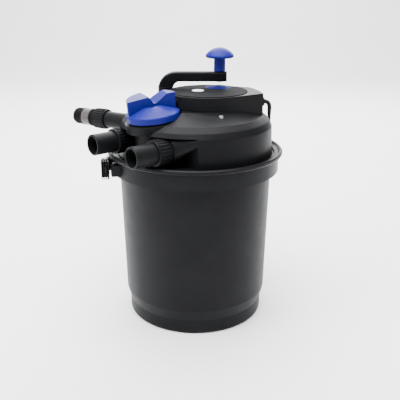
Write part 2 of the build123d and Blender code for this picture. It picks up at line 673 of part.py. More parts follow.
ARM_X = CRANK_X - 14.5
ARM_END = GRIP_X + 14
ARM_BEND = 35.0
ARM_INNER = 13.0
CORNER_ARC = 1 - math.sqrt(0.5)             # middle of a quarter turn, from its corner
with BuildPart() as crank_arm:
    with BuildSketch(Plane(origin=(0, CRANK_Y + 10, 0), x_dir=(1, 0, 0), z_dir=(0, -1, 0))):
        with BuildLine():
            inner_x = ARM_X + 29 + ARM_INNER
            Line((ARM_X, HUB_LOW), (ARM_X, ARM_TOP - ARM_BEND))
            ThreePointArc(
                (ARM_X, ARM_TOP - ARM_BEND), (ARM_X + ARM_BEND * CORNER_ARC, ARM_TOP - ARM_BEND * CORNER_ARC),
                (ARM_X + ARM_BEND, ARM_TOP),
            )
            Polyline((ARM_X + ARM_BEND, ARM_TOP), (ARM_END, ARM_TOP), (ARM_END, ARM_LOW), (inner_x, ARM_LOW))
            ThreePointArc(
                (inner_x, ARM_LOW), (inner_x - ARM_INNER * (1 - CORNER_ARC), ARM_LOW - ARM_INNER * CORNER_ARC),
                (inner_x - ARM_INNER, ARM_LOW - ARM_INNER),
            )
            Polyline((inner_x - ARM_INNER, ARM_LOW - ARM_INNER), (inner_x - ARM_INNER, HUB_LOW), (ARM_X, HUB_LOW))
        make_face()
    extrude(amount=20)
    arm_edges = [
        edge for edge in crank_arm.edges()
        if abs(edge.center().Y - CRANK_Y) > 9.9 and edge.center().Z > HUB_LOW + 1
    ]
    fillet(arm_edges, radius=4)
    # round post below the elbow
    tube(vertical_plane(CRANK_X, CRANK_Y, HUB_LOW), 40, 14.5, 8, Mode.SUBTRACT)
    cylinder(vertical_plane(CRANK_X, CRANK_Y, HUB_LOW), 14.5, 8)
    cylinder(vertical_plane(CRANK_X, CRANK_Y, HUB_LOW), SHAFT_R, 455 - HUB_LOW, Mode.SUBTRACT)
    cylinder(vertical_plane(GRIP_X, CRANK_Y, ARM_LOW), 4, 30, Mode.SUBTRACT)
    # key that fits the flat of the shaft
    with BuildSketch(Plane.XY.offset(448)):
        with Locations((CRANK_X + SHAFT_R - 0.75, CRANK_Y)):
            Rectangle(1.5, 6)
    extrude(amount=7)
save(crank_arm, "crank_arm")

GRIP_LOW = ARM_TOP + GAP
with BuildPart() as grip_spindle:
    cylinder(vertical_plane(GRIP_X, CRANK_Y, ARM_LOW - 1.2), 6.5, 1.2)
    cylinder(vertical_plane(GRIP_X, CRANK_Y, ARM_LOW), 4, 503 - ARM_LOW)
save(grip_spindle, "grip_spindle")

with BuildPart() as grip_sleeve:
    cylinder(vertical_plane(GRIP_X, CRANK_Y, GRIP_LOW), 11, 23.5)
    chamfer(grip_sleeve.edges().group_by(Axis.Z)[0], length=0.8)
    cylinder(vertical_plane(GRIP_X, CRANK_Y, GRIP_LOW), 4 + FIT, 24, Mode.SUBTRACT)
save(grip_sleeve, "grip_sleeve")

CAP_LOW = GRIP_LOW + 23.5
CAP_R = 27.0
CAP_BEND = 495.0                            # top of the rim, where the crown starts
CAP_RISE = 14.5
with BuildPart() as grip_cap:
    with BuildSketch(Plane(origin=(GRIP_X, CRANK_Y, 0), x_dir=(1, 0, 0), z_dir=(0, -1, 0))):
        with BuildLine():
            Polyline(
                (0, CAP_BEND + CAP_RISE), (0, CAP_LOW), (13, CAP_LOW), (18, 490.5), (25, 490.5),
                (CAP_R, 492.5), (CAP_R, CAP_BEND),
            )
            crown = crown_middle(CAP_R, CAP_BEND, CAP_RISE)
            ThreePointArc((CAP_R, CAP_BEND), crown, (0, CAP_BEND + CAP_RISE))
        make_face()
    revolve(axis=Axis((GRIP_X, CRANK_Y, 0), (0, 0, 1)))
    # finger scallops round the rim
    with BuildSketch(Plane.XY.offset(CAP_LOW - 2)):
        with Locations((GRIP_X, CRANK_Y)):
            with PolarLocations(CAP_R + 2.6, 20):
                Circle(3.4)
    extrude(amount=8, mode=Mode.SUBTRACT)
    cylinder(vertical_plane(GRIP_X, CRANK_Y, CAP_LOW), 4 + FIT, 503.5 - CAP_LOW, Mode.SUBTRACT)
save(grip_cap, "grip_cap")

# ================================================================ ballast housing and UV lamp
CORNER = (124.0, -24.0)
BACK_CORNER = (104.0, 52.0)


def tangent_point(corner, side):
    """Point where a wall from a corner meets the round end, on one side of it."""
    cx, cy = corner[0] - HOUSING_X, corner[1]
    distance = math.hypot(cx, cy)
    angle = math.atan2(cy, cx) + side * math.acos(HOUSING_R / distance)
    return HOUSING_X + HOUSING_R * math.cos(angle), HOUSING_R * math.sin(angle)


def housing_outline():
    """Plan of the ballast housing: round end, two tangent walls, gently bowed outer wall."""
    front = tangent_point(CORNER, -1)
    back = tangent_point(BACK_CORNER, 1)
    ThreePointArc(back, (HOUSING_X - HOUSING_R, 0), front)
    Line(front, CORNER)
    ThreePointArc(CORNER, (118.5, 14), BACK_CORNER)
    Line(BACK_CORNER, back)


HOUSING_FLOOR = 386.0
with BuildPart() as ballast_housing:
    with BuildSketch(Plane.XY.offset(HOUSING_FLOOR)) as plan:
        with BuildLine():
            housing_outline()
        make_face()
    extrude(amount=HOUSING_TOP - HOUSING_FLOOR)
    fillet(ballast_housing.edges().group_by(Axis.Z)[-1], radius=1.2)
    with BuildSketch(Plane.XY.offset(HOUSING_FLOOR)):
        offset(plan.sketch, amount=-3, mode=Mode.ADD)
        with Locations((VALVE_X, VALVE_Y)):
            Circle(52, mode=Mode.SUBTRACT)
    extrude(amount=HOUSING_TOP - 4 - HOUSING_FLOOR, mode=Mode.SUBTRACT)
    with BuildSketch(Plane.XY.offset(HOUSING_TOP - 2.5)):
        with Locations((HOUSING_X, 0)):
            Circle(DISC_R + 0.2)
    extrude(amount=5, mode=Mode.SUBTRACT)
    with BuildSketch(Plane.XY.offset(HOUSING_TOP - 6)):
        with Locations((HOUSING_X, 0)):
            Circle(DISC_R - 6)
    extrude(amount=8, mode=Mode.SUBTRACT)
    add(Pos(0, 0, 0.05) * dome_solid.part, mode=Mode.SUBTRACT)
    # hollow that clears the turning knob
    cylinder(valve_plane(-6), KNOB_R + 1, 38, Mode.SUBTRACT)
    gland_x, gland_y = unit(20)
    GLAND_WALL = (111.6, 30.2)
    gland_plane = Plane(origin=(*GLAND_WALL, 409), x_dir=(0, 0, 1), z_dir=(gland_x, gland_y, 0))
    cylinder(gland_plane.offset(-12), 8, 24, Mode.SUBTRACT)
save(ballast_housing, "ballast_housing")

with BuildPart() as housing_disc:
    cylinder(vertical_plane(HOUSING_X, 0, HOUSING_TOP - 2.5), DISC_R, 4)
    fillet(housing_disc.edges().group_by(Axis.Z)[-1], radius=1.2)
    cylinder(vertical_plane(5, 0, HOUSING_TOP - 2.5), 11.1, 5, Mode.SUBTRACT)
    cylinder(vertical_plane(44, 41, HOUSING_TOP - 2.5), 22, 5, Mode.SUBTRACT)
save(housing_disc, "housing_disc")

with BuildPart() as indicator_lens:
    cylinder(vertical_plane(5, 0, HOUSING_TOP - 2.5), 11, 4.6)
    fillet(indicator_lens.edges().group_by(Axis.Z)[-1], radius=0.8)
save(indicator_lens, "indicator_lens")

with BuildPart() as lamp_cap:
    cylinder(vertical_plane(44, 41, HOUSING_TOP - 6), 21, 7.5)
    with BuildSketch(Plane(origin=(44, 41, 0), x_dir=(1, 0, 0), z_dir=(0, -1, 0))):
        with BuildLine():
            Line((0, HOUSING_TOP + 1.5), (26, HOUSING_TOP + 1.5))
            crown = crown_middle(26, HOUSING_TOP + 1.5, 3.7)
            ThreePointArc((26, HOUSING_TOP + 1.5), crown, (0, HOUSING_TOP + 5.2))
            Line((0, HOUSING_TOP + 5.2), (0, HOUSING_TOP + 1.5))
        make_face()
    revolve(axis=Axis((44, 41, 0), (0, 0, 1)))
save(lamp_cap, "lamp_cap")

with BuildPart() as ballast_module:
    with BuildSketch(Plane.XY.offset(PLATEAU_Z + 0.2)):
        with Locations((-18, 0)):
            RectangleRounded(38, 60, 3)
    extrude(amount=17)
    fillet(ballast_module.edges().group_by(Axis.Z)[-1], radius=1.5)
save(ballast_module, "ballast_module")

SCREW_SPOTS = ((45, -88), (-20, 86), (62, 84))
with BuildPart() as housing_screws:
    for sx, sy in SCREW_SPOTS:
        surface = PLATEAU_Z - (math.hypot(sx, sy) - PLATEAU_R) * DOME_SLOPE
        cylinder(vertical_plane(sx, sy, surface - 2.5), 4, 5)
    fillet(housing_screws.edges().group_by(Axis.Z)[-1], radius=0.8)
save(housing_screws, "housing_screws")

with BuildPart() as cable_gland:
    cylinder(gland_plane.offset(-4), 9.4, 1.8)
    cylinder(gland_plane.offset(-2.2), 7.9, 16)
    cylinder(gland_plane.offset(3.6), 11, 4)
    cylinder(gland_plane.offset(-4), CABLE_R + 1, 20, Mode.SUBTRACT)
save(cable_gland, "cable_gland")

with BuildPart() as gland_nut:
    with BuildSketch(gland_plane.offset(7.8)):
        RegularPolygon(11.5, 6)
        Circle(8, mode=Mode.SUBTRACT)
    extrude(amount=8)
    tube(gland_plane.offset(15.8), 9, CABLE_R + 1, 4)
save(gland_nut, "gland_nut")

# moulded elbow boot that turns the cable down
BOOT_BEND = 12.0
boot_start = gland_plane.offset(13.8)
boot_turn = gland_plane.offset(22)
with BuildPart() as strain_relief:
    with BuildLine():
        start = boot_start.origin
        turn = boot_turn.origin
        corner = turn + Vector(gland_x, gland_y, 0) * BOOT_BEND
        Line(start, turn)
        down = corner + Vector(0, 0, -BOOT_BEND)
        middle = corner + Vector(gland_x, gland_y, 0) * -BOOT_BEND + Vector(0, 0, -BOOT_BEND)
        diagonal = Vector(gland_x, gland_y, 1) * (BOOT_BEND / math.sqrt(2))
        ThreePointArc(turn, middle + diagonal, down)
    with BuildSketch(boot_start):
        Circle(CABLE_R + 0.9)
    sweep()
    cord_top = down + Vector(0, 0, -16)
    with BuildSketch(Plane(origin=down, x_dir=(1, 0, 0), z_dir=(0, 0, -1))):
        Circle(CABLE_R + 0.9)
    extrude(amount=16, taper=2.6)
save(strain_relief, "strain_relief")
print("cord leaves the boot at", cord_top)

LAMP_LOW = 76.0
LAMP_TOP = 384.0
SLEEVE_LOW = 70.0
with BuildPart() as quartz_sleeve:
    cylinder(vertical_plane(LAMP_X, 0, SLEEVE_LOW), SLEEVE_R, 402 - SLEEVE_LOW)
    fillet(quartz_sleeve.edges().group_by(Axis.Z)[0], radius=12)
    offset(amount=-1.6, openings=quartz_sleeve.faces().sort_by(Axis.Z)[-1])
save(quartz_sleeve, "quartz_sleeve")

with BuildPart() as sleeve_seal:
    tube(vertical_plane(LAMP_X, 0, SLEEVE_BOSS_Z - 3), SLEEVE_R + 3.4, SLEEVE_R, 3)
save(sleeve_seal, "sleeve_seal")

with BuildPart() as sleeve_nut:
    cylinder(vertical_plane(LAMP_X, 0, 377), 33, 15)
    cylinder(vertical_plane(LAMP_X, 0, 381), SLEEVE_BOSS_R, 12, Mode.SUBTRACT)
    cylinder(vertical_plane(LAMP_X, 0, 370), SLEEVE_R + 0.6, 20, Mode.SUBTRACT)
    with BuildSketch(Plane.XY.offset(377)):
        with Locations((LAMP_X, 0)):
            with PolarLocations(33, 12):
                Circle(3)
    extrude(amount=15, mode=Mode.SUBTRACT)
save(sleeve_nut, "sleeve_nut")

TUBE_R = 7.0
TUBE_X = 9.5
with BuildPart() as lamp_tubes:
    for tube_x in (LAMP_X - TUBE_X, LAMP_X + TUBE_X):
        cylinder(vertical_plane(tube_x, 0, LAMP_LOW), TUBE_R, LAMP_TOP - LAMP_LOW)
    low_edges = lamp_tubes.edges().group_by(Axis.Z)[0]
    fillet(low_edges, radius=5)
    with BuildSketch(Plane(origin=(LAMP_X, 0, LAMP_LOW + 14), x_dir=(0, 1, 0), z_dir=(1, 0, 0))):
        Circle(2.6)
    extrude(amount=TUBE_X - 3, both=True)
save(lamp_tubes, "lamp_tubes")

with BuildPart() as lamp_base:
    with BuildSketch(Plane.XY.offset(LAMP_TOP)):
        with Locations((LAMP_X, 0)):
            RectangleRounded(34, 18, 6)
    extrude(amount=16)
save(lamp_base, "lamp_base")

with BuildPart() as lamp_socket:
    with BuildSketch(Plane.XY.offset(400)):
        with Locations((LAMP_X, 0)):
            RectangleRounded(36, 20, 6)
    extrude(amount=PLATEAU_Z + 0.05 - 400)
    with BuildSketch(Plane.XY.offset(PLATEAU_Z + 0.05)):
        with Locations((LAMP_X, 0)):
            RectangleRounded(56, 32, 6)
    extrude(amount=13)
save(lamp_socket, "lamp_socket")

# ================================================================ power cord
COIL_X, COIL_Y = 2.0, 250.0
COIL_IN, COIL_OUT = 29.0, 56.0
COIL_LOW, COIL_H = 1.4, 26.0

route = [
    (cord_top.X, cord_top.Y, cord_top.Z),
    (cord_top.X, cord_top.Y, 360),
    (147, 54, 341),
    (153, 82, 330),
    (152, 104, 304),
    (147, 118, 268),
    (140, 129, 226),
    (131, 140, 174),
    (120, 150, 118),
    (110, 158, 64),
    (98, 180, 22),
    (82, 201, 3.5),
    (69, 220, 3.4),
    (62.1, 242, 5.5),
]
turns = []
for before, point, after in zip(route, route[1:], route[2:]):
    run_in = Vector(point) - Vector(before)
    run_out = Vector(after) - Vector(point)
    turn = math.radians(run_in.get_angle(run_out))
    turns.append(0.45 * min(run_in.length, run_out.length) / math.tan(turn / 2))
print("cord radii", [round(radius) for radius in turns])

with BuildPart() as power_cord:
    with BuildLine() as cord_line:
        FilletPolyline(*route, radius=turns)
    with BuildSketch(Plane(origin=route[0], x_dir=(1, 0, 0), z_dir=(0, 0, -1))):
        Circle(CABLE_R)
    sweep()
save(power_cord, "power_cord")
cord_length = cord_line.wires()[0].length
cord_volume = math.pi * CABLE_R ** 2 * cord_length
print("cord length", round(cord_length), "volume ratio", round(power_cord.part.volume / cord_volume, 4))

with BuildPart() as cord_coil:
    with BuildSketch(Plane(origin=(COIL_X, COIL_Y, 0), x_dir=(1, 0, 0), z_dir=(0, -1, 0))):
        with Locations(((COIL_IN + COIL_OUT) / 2, COIL_LOW + COIL_H / 2)):
            RectangleRounded(COIL_OUT - COIL_IN, COIL_H, 8)
    revolve(axis=Axis((COIL_X, COIL_Y, 0), (0, 0, 1)))
save(cord_coil, "cord_coil")

with BuildPart() as coil_tie:
    tie_centre = (COIL_X - 4, COIL_Y + (COIL_IN + COIL_OUT) / 2, COIL_LOW + COIL_H / 2)
    with BuildSketch(Plane(origin=tie_centre, x_dir=(0, 1, 0), z_dir=(1, 0, 0))):
        RectangleRounded(COIL_OUT - COIL_IN + 3.6, COIL_H + 2.4, 9)
        RectangleRounded(COIL_OUT - COIL_IN + 1.2, COIL_H + 0.2, 8, mode=Mode.SUBTRACT)
    extrude(amount=8)
    add(cord_coil.part, mode=Mode.SUBTRACT)
save(coil_tie, "coil_tie")

PLUG_X, PLUG_Y, PLUG_Z = -52.0, 183.0, 19.2
with BuildPart() as power_plug:
    plug_plane = Plane(origin=(PLUG_X, PLUG_Y, PLUG_Z), x_dir=(1, 0, 0), z_dir=(0, 1, 0))
    cylinder(plug_plane.offset(-18), 19, 22)
    with BuildSketch(plug_plane.offset(4)):
        Circle(19)
    extrude(amount=14, taper=32)
    cylinder(plug_plane.offset(18), 6.5, 8)
    with BuildSketch(plug_plane.offset(26)):
        Circle(6.2)
    extrude(amount=24, taper=5)
    with BuildSketch(plug_plane.offset(-37)):
        with Locations((-9.5, 0), (9.5, 0)):
            Circle(2.4)
    extrude(amount=19)
save(power_plug, "power_plug")
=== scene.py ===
import json
import math
import random

import bmesh
import bpy
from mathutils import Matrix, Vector


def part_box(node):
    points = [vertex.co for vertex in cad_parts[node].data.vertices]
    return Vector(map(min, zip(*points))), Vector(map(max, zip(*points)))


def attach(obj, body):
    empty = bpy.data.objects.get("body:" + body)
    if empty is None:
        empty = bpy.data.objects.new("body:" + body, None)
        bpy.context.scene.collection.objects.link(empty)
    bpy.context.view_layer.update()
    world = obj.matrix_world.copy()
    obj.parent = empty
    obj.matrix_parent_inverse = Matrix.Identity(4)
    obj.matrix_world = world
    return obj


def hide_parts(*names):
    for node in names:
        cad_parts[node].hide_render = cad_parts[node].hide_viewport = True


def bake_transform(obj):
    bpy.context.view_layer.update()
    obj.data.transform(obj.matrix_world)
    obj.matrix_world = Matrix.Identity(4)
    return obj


# Pressurised pond filter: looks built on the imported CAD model. Metres, same frame as the CAD.
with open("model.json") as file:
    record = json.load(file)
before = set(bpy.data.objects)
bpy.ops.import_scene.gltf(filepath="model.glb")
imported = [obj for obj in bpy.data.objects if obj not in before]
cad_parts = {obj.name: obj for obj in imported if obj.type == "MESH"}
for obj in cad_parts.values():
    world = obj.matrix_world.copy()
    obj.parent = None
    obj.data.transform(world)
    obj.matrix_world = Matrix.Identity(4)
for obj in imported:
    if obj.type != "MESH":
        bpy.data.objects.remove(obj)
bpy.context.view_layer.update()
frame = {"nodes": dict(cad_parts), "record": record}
NODES = frame["nodes"]


# ---------------------------------------------------------------- camera
CAMERA_PLACE = (0.003, -1.14, 0.618)
CAMERA_TILT = 18.93             # degrees below the horizon
CAMERA_SHIFT = (0.008, -0.0075)
LENS_MM = 55.3
SENSOR_MM = 36.0
CLIP_END = 20.0


def make_camera():
    """Camera in front of the filter, looking slightly down, as in the reference view."""
    data = bpy.data.cameras.new("camera")
    data.lens = LENS_MM
    data.sensor_width = SENSOR_MM
    data.shift_x, data.shift_y = CAMERA_SHIFT
    data.clip_end = CLIP_END
    camera = bpy.data.objects.new("camera", data)
    camera.location = CAMERA_PLACE
    camera.rotation_euler = (math.radians(90 - CAMERA_TILT), 0, 0)
    bpy.context.scene.collection.objects.link(camera)
    bpy.context.scene.camera = camera


make_camera()


# ---------------------------------------------------------------- mesh helpers
def new_piece(name, mesh):
    """An object in the scene that holds the mesh."""
    piece = bpy.data.objects.new(name, mesh)
    bpy.context.scene.collection.objects.link(piece)
    return piece


def smooth(piece, angle):
    """Smooth shading, with edges sharper than the angle kept crisp."""
    piece.data.polygons.foreach_set("use_smooth", [True] * len(piece.data.polygons))
    piece.data.set_sharp_from_angle(angle=angle)


def finished(work, name):
    """The mesh of a bmesh, which is freed."""
    mesh = bpy.data.meshes.new(name)
    work.to_mesh(mesh)
    work.free()
    return mesh


def sampled(points, resolution):
    """Points along the smooth curve that a route's control points make."""
    curve = bpy.data.curves.new("route", "CURVE")
    curve.dimensions = "3D"
    spline = curve.splines.new("NURBS")
    spline.points.add(len(points) - 1)
    for place, point in zip(spline.points, points):
        place.co = (*point, 1.0)
    spline.order_u = 3
    spline.use_endpoint_u = True
    spline.resolution_u = resolution
    holder = bpy.data.objects.new("route", curve)
    bpy.context.scene.collection.objects.link(holder)
    bpy.context.view_layer.update()
    graph = bpy.context.evaluated_depsgraph_get()
    line = bpy.data.meshes.new_from_object(holder.evaluated_get(graph))
    path = [vertex.co.copy() for vertex in line.vertices]
    bpy.data.objects.remove(holder)
    bpy.data.curves.remove(curve)
    bpy.data.meshes.remove(line)
    return path


def tube_mesh(name, path, radius, sides):
    """Closed round tube along a path, its section carried along without twist."""
    work = bmesh.new()
    tangents = []
    for index in range(len(path)):
        before = path[max(index - 1, 0)]
        after = path[min(index + 1, len(path) - 1)]
        tangents.append((after - before).normalized())
    normal = tangents[0].orthogonal().normalized()
    rings = []
    for point, tangent in zip(path, tangents):
        normal = (normal - tangent * normal.dot(tangent)).normalized()
        side = tangent.cross(normal)
        ring = []
        for step in range(sides):
            angle = 2 * math.pi * step / sides
            outward = normal * math.cos(angle) + side * math.sin(angle)
            ring.append(work.verts.new(point + outward * radius))
        rings.append(ring)
    for ring, following in zip(rings, rings[1:]):
        for step in range(sides):
            other = (step + 1) % sides
            work.faces.new((ring[step], ring[other], following[other], following[step]))
    work.faces.new(list(reversed(rings[0])))
    work.faces.new(rings[-1])
    return finished(work, name)


# ---------------------------------------------------------------- power cord
CABLE_D = 0.0065
CORD_SIDES = 14
CORD_RESOLUTION = 6             # sampled points for each control point
CORD_EXIT = (0.14355, 0.04183, 0.381)
# Control points of the CAD lead's route, from its exit down the back to the floor and the coil.
CORD_ROUTE = [
    CORD_EXIT,
    (0.14355, 0.04183, 0.360),
    (0.147, 0.054, 0.341),
    (0.153, 0.082, 0.330),
    (0.152, 0.104, 0.304),
    (0.147, 0.118, 0.268),
    (0.140, 0.129, 0.226),
    (0.131, 0.140, 0.174),
    (0.120, 0.150, 0.118),
    (0.110, 0.158, 0.064),
    (0.098, 0.180, 0.022),
    (0.082, 0.201, 0.0035),
    (0.069, 0.220, 0.0034),
    (0.0621, 0.242, 0.0046),
]
COIL_CENTRE = (0.002, 0.250)
TURN_POINTS = 24
COIL_PITCH = 0.00668            # between neighbouring turns
COIL_INNER = 0.0331             # radius of the turns in column 0
COIL_FLOOR = 0.0047
OUTER_COLUMN = 3                # where the first turn lies
PLUG_ENTRY = (-0.052, 0.231, 0.0192)
PLUG_RUN = 0.016                # straight run into the plug

# For each layer, in degrees wound since the coil's start: the first step to a neighbouring column,
# the columns that it and the next steps go to, one a turn, and the climb to the next layer. A climb
# never meets the step beside it.
COIL_LAYERS = (
    (300, (2, 1, 0), 1310),
    (1610, (1, 2, 3), 2420),
    (2490, (2, 1, 0), 3480),
    (3780, (1, 2, 3), None),
)
COIL_START, COIL_END = 15, 4860
STEP_ANGLE, CLIMB_ANGLE = 60, 70
DROP_START, DROP_ANGLE = COIL_END - 120, 105    # the last stretch comes down to the plug
DROP_OUT = 0.0006                               # and widens a little


def coil_points():
    """Turns of the coil in four layers, in, out, in and out again, ending in line with the plug."""
    moves = []      # first and last angle, and how far the lead goes out and up between them
    column, height = OUTER_COLUMN, 0.0
    for first, columns, climb in COIL_LAYERS:
        for turn, following in enumerate(columns):
            start = first + 360 * turn
            moves.append((start, start + STEP_ANGLE, (following - column) * COIL_PITCH, 0.0))
            column = following
        if climb is not None:
            moves.append((climb, climb + CLIMB_ANGLE, 0.0, COIL_PITCH))
            height += COIL_PITCH
    drop = PLUG_ENTRY[2] - COIL_FLOOR - height
    moves.append((DROP_START, DROP_START + DROP_ANGLE, DROP_OUT, drop))
    points = []
    for wound in range(COIL_START, COIL_END, 360 // TURN_POINTS):
        radius, z = COIL_INNER + OUTER_COLUMN * COIL_PITCH, COIL_FLOOR
        for start, end, out, rise in moves:
            share = min(max((wound - start) / (end - start), 0.0), 1.0)
            eased = share * share * (3 - 2 * share)
            radius += out * eased
            z += rise * eased
        angle = math.radians(wound)
        x = COIL_CENTRE[0] + radius * math.cos(angle)
        y = COIL_CENTRE[1] + radius * math.sin(angle)
        points.append((x, y, z))
    points.append((PLUG_ENTRY[0], PLUG_ENTRY[1] + PLUG_RUN, PLUG_ENTRY[2]))
    points.append(PLUG_ENTRY)
    return points


def make_cord():
    """The lead in one tube: down the back, along the floor, through the coil, into the plug."""
    path = sampled(CORD_ROUTE + coil_points(), CORD_RESOLUTION)
    piece = new_piece("mains_lead", tube_mesh("mains_lead", path, CABLE_D / 2, CORD_SIDES))
    smooth(piece, math.radians(60))
    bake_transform(piece)
    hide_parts("power_cord", "cord_coil")
    return piece


mains_lead = make_cord()


# ---------------------------------------------------------------- material helpers
def node(tree, kind, inputs=None, **settings):
    """A shader node with its settings; an input is a value or the socket that feeds it."""
    made = tree.nodes.new(kind)
    for key, value in settings.items():
        setattr(made, key, value)
    for key, value in (inputs or {}).items():
        if isinstance(value, bpy.types.NodeSocket):
            tree.links.new(value, made.inputs[key])
        else:
            made.inputs[key].default_value = value
    return made


def ramp(tree, factor, stops):
    """Colour ramp through (position, colour) stops."""
    made = node(tree, "ShaderNodeValToRGB", {"Fac": factor})
    elements = made.color_ramp.elements
    while len(elements) < len(stops):
        elements.new(0.5)
    for element, (position, colour) in zip(elements, stops):
        element.position = position
        element.color = (*colour, 1.0)
    return made.outputs["Color"]


def scaled(tree, factor, low, high):
    """Maps a 0 to 1 factor to a range."""
    made = node(tree, "ShaderNodeMapRange", {"Value": factor, "To Min": low, "To Max": high})
    return made.outputs["Result"]


def noise(tree, place, scale, detail, **more):
    """Factor of a noise texture at a place."""
    inputs = {"Vector": place, "Scale": scale, "Detail": detail, **more}
    return node(tree, "ShaderNodeTexNoise", inputs).outputs["Fac"]


def cell(tree, place, scale):
    """Distance to the nearest cell centre of a Voronoi texture."""
    inputs = {"Vector": place, "Scale": scale}
    return node(tree, "ShaderNodeTexVoronoi", inputs).outputs["Distance"]


def stretched(tree, place, scale, rotation=(0, 0, 0)):
    """The place scaled differently along each axis, which turns a noise into lines."""
    inputs = {"Vector": place, "Rotation": rotation, "Scale": scale}
    return node(tree, "ShaderNodeMapping", inputs).outputs["Vector"]


def start_material(name):
    """A new material with its node tree, its shader and the object's coordinates."""
    material = bpy.data.materials.new(name)
    material.use_nodes = True
    tree = material.node_tree
    place = node(tree, "ShaderNodeTexCoord").outputs["Object"]
    return material, tree, tree.nodes["Principled BSDF"], place


def bumped(tree, shader, heights, strength, distance):
    """Adds up height textures and feeds them to the shader's normal."""
    total = heights[0]
    for height in heights[1:]:
        total = node(tree, "ShaderNodeMath", {0: total, 1: height}, operation="ADD").outputs[0]
    inputs = {"Height": total, "Strength": strength, "Distance": distance}
    bump = node(tree, "ShaderNodeBump", inputs)
    tree.links.new(bump.outputs["Normal"], shader.inputs["Normal"])


def moulded(name, colour, lighter, roughness, grain=0.30, scuff=0.3, specular=0.08):
    """Moulded plastic: fine grain, slow drift of colour and sheen, and handling scuffs."""
    material, tree, shader, place = start_material(name)
    drift = noise(tree, place, 14.0, 4.0)
    scratch_place = stretched(tree, place, (900, 60, 240), rotation=(0.3, 0.5, 0.2))
    scratch = noise(tree, scratch_place, 1.0, 6.0, Roughness=0.7)
    marks = ramp(tree, scratch, [(0.60, (0, 0, 0)), (0.74, (scuff, scuff, scuff))])
    drifted = ramp(tree, drift, [(0.3, colour), (0.75, lighter)])
    worn = [min(1.0, channel * 1.8 + 0.004) for channel in lighter]
    inputs = {"Fac": marks, "Color1": drifted, "Color2": (*worn, 1.0)}
    mixed = node(tree, "ShaderNodeMixRGB", inputs).outputs["Color"]
    tree.links.new(mixed, shader.inputs["Base Color"])
    sheen = scaled(tree, noise(tree, place, 46.0, 5.0), roughness - 0.06, roughness + 0.09)
    tree.links.new(sheen, shader.inputs["Roughness"])
    shader.inputs["Specular IOR Level"].default_value = specular
    fine = noise(tree, place, 1500.0, 2.0)
    wave = noise(tree, place, 24.0, 1.0)
    bumped(tree, shader, [fine, wave], grain, 0.00035)
    return material


def polished(name, colour, lighter, roughness, coat=0.3, specular=0.5):
    """Glossy moulded plastic with faint orange peel, drift of colour and hairline marks."""
    material, tree, shader, place = start_material(name)
    drift = ramp(tree, noise(tree, place, 22.0, 3.0), [(0.3, colour), (0.72, lighter)])
    tree.links.new(drift, shader.inputs["Base Color"])
    hair = noise(tree, stretched(tree, place, (1400, 80, 500)), 1.0, 4.0)
    tree.links.new(scaled(tree, hair, roughness, roughness + 0.12), shader.inputs["Roughness"])
    shader.inputs["Specular IOR Level"].default_value = specular
    shader.inputs["Coat Weight"].default_value = coat
    shader.inputs["Coat Roughness"].default_value = 0.18
    bumped(tree, shader, [noise(tree, place, 420.0, 1.0)], 0.10, 0.0002)
    return material


def brushed_metal(name, colour, roughness):
    """Turned or drawn steel, with fine lines along Z and a few darker stains."""
    material, tree, shader, place = start_material(name)
    lines = noise(tree, stretched(tree, place, (2600, 2600, 90)), 1.0, 4.0)
    dark = [channel * 0.62 for channel in colour]
    stain = ramp(tree, noise(tree, place, 130.0, 5.0), [(0.3, dark), (0.6, colour)])
    tree.links.new(stain, shader.inputs["Base Color"])
    sheen = scaled(tree, lines, roughness - 0.08, roughness + 0.14)
    tree.links.new(sheen, shader.inputs["Roughness"])
    shader.inputs["Metallic"].default_value = 1.0
    bumped(tree, shader, [lines], 0.2, 0.0001)
    return material


def rubbery(name, colour, lighter):
    """Soft black elastomer: matte, faint bloom, fine surface pores."""
    material, tree, shader, place = start_material(name)
    bloom = noise(tree, place, 60.0, 6.0)
    tree.links.new(ramp(tree, bloom, [(0.35, colour), (0.8, lighter)]), shader.inputs["Base Color"])
    tree.links.new(scaled(tree, bloom, 0.55, 0.72), shader.inputs["Roughness"])
    shader.inputs["Specular IOR Level"].default_value = 0.18
    bumped(tree, shader, [noise(tree, place, 2200.0, 2.0)], 0.25, 0.00015)
    return material


def open_foam(name, colour, lighter):
    """Reticulated filter foam: 2 mm cells, painted shade in their centres, painted light on the
    struts.
    """
    material, tree, shader, place = start_material(name)
    cells = cell(tree, place, 520.0)
    coarse = cell(tree, place, 260.0)
    struts = node(tree, "ShaderNodeMath", {0: cells, 1: coarse}, operation="MULTIPLY").outputs[0]
    # painted shade in the pores: the cell centres darkened to 0.22 of the foam's colour
    shadow = [channel * 0.22 for channel in colour]
    # ramp from painted shade at the cell centres, through the foam's colour, to painted light on
    # the struts
    pore_shade_and_strut_light = ramp(tree, struts, [(0.02, shadow), (0.14, colour), (0.34, lighter)])
    tree.links.new(pore_shade_and_strut_light, shader.inputs["Base Color"])
    shader.inputs["Roughness"].default_value = 0.92
    shader.inputs["Sheen Weight"].default_value = 0.25
    bumped(tree, shader, [cells, coarse], 0.9, 0.0016)
    return material


def clear(name, tint, roughness, ior, weight):
    """Clear tube: transmission with a faint haze of lime drying marks."""
    material, tree, shader, place = start_material(name)
    haze = noise(tree, place, 90.0, 6.0)
    shadow = [channel * 0.86 for channel in tint]
    tree.links.new(ramp(tree, haze, [(0.35, shadow), (0.7, tint)]), shader.inputs["Base Color"])
    tree.links.new(scaled(tree, haze, roughness, roughness + 0.12), shader.inputs["Roughness"])
    shader.inputs["IOR"].default_value = ior
    shader.inputs["Transmission Weight"].default_value = weight
    return material


